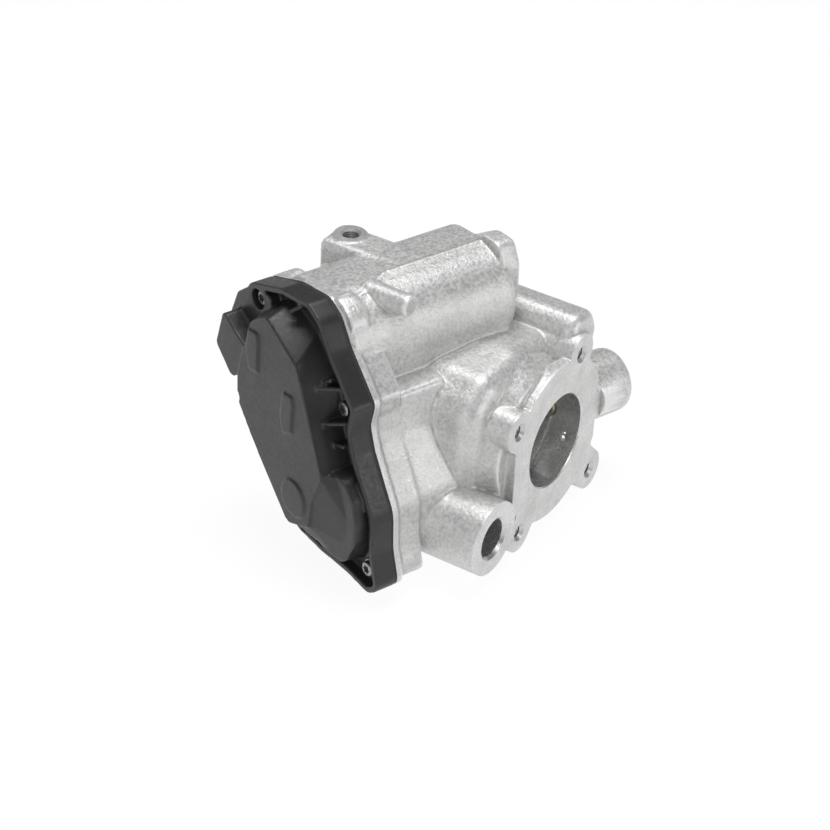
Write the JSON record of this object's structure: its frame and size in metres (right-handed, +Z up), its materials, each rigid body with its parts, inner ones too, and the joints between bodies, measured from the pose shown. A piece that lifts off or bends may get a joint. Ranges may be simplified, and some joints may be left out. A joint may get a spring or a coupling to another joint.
{
  "type": "egr valve",
  "caption": "Exhaust gas recirculation valve: die-cast housing with a gas duct, flange and coolant port, plastic actuator cover with geared electric motor, and a flap on a sprung shaft.",
  "frame": {"origin": "centre of the gas port's bore, on the flange face", "axes": "+X along the valve shaft, motor and gear axes, away from the cover; +Z up; the flange face looks towards -Y, turned 20 degrees towards +X"},
  "size_m": [0.1539, 0.1222, 0.1149],
  "materials": {
    "cast_aluminium": "die cast, satin",
    "cover_plastic": "fine moulded grain",
    "ground_steel": "ground",
    "zinc_steel": "zinc plated",
    "flap_steel": "stainless, turned",
    "core_steel": "laminated",
    "spring_steel": "drawn",
    "dark_steel": "black coated",
    "bush_bronze": "sintered",
    "copper": "bare",
    "magnet_grey": "ferrite",
    "carbon": "carbon",
    "gear_plastic": "natural",
    "end_plastic": "moulded",
    "board_green": "lacquered",
    "seal_rubber": "moulded"
  },
  "bodies": {
    "body": {"valve_housing": "cast_aluminium", "actuator_cover": "cover_plastic", "shaft_front_bearing": "ground_steel", "shaft_seal": "seal_rubber", "shaft_middle_bush": "bush_bronze", "shaft_far_bush": "bush_bronze", "shaft_thrust_washer": "ground_steel", "intermediate_axle": "ground_steel", "axle_washer": "ground_steel", "return_spring": "spring_steel", "motor_can": "zinc_steel", "motor_magnets": "magnet_grey", "motor_end_plate": "end_plastic", "motor_brushes": "carbon", "motor_screws": "ground_steel", "motor_contacts": "copper", "motor_disc_spring": "spring_steel", "cover_gasket": "seal_rubber", "cover_screws": "dark_steel", "screw_sleeves": "ground_steel", "connector_terminals": "copper", "sensor_board": "board_green"},
    "valve": {"valve_shaft": "ground_steel", "valve_flap": "flap_steel", "flap_pin": "ground_steel", "sector_gear": "gear_plastic", "sector_nut": "ground_steel", "sensor_magnet": "magnet_grey"},
    "reduction": {"intermediate_gear": "gear_plastic"},
    "rotor": {"motor_armature": "core_steel", "motor_commutator": "copper", "motor_shaft": "ground_steel", "motor_pinion": "bush_bronze"}
  },
  "joints": [
    {"name": "valve_turn", "type": "hinge", "parent": "body", "child": "valve", "pos_m": [0, 0.024, 0], "axis": [1, 0, 0], "range_deg": [0, 64], "stiffness_Nm_per_rad": 0.25, "springref_deg": -22.92, "deforming": ["return_spring"]},
    {"name": "gear_spin", "type": "hinge", "parent": "body", "child": "reduction", "pos_m": [0, 0.04956, 0.02088], "axis": [1, 0, 0], "range_deg": [-148, 0]},
    {"name": "motor_spin", "type": "hinge", "parent": "body", "child": "rotor", "pos_m": [0, 0.05, 0.046], "axis": [1, 0, 0], "range_deg": [0, 612]}
  ],
  "couplings": [
    {"joint": "gear_spin", "follows": "valve_turn", "ratio": -2.3},
    {"joint": "motor_spin", "follows": "valve_turn", "ratio": 9.5538}
  ]
}
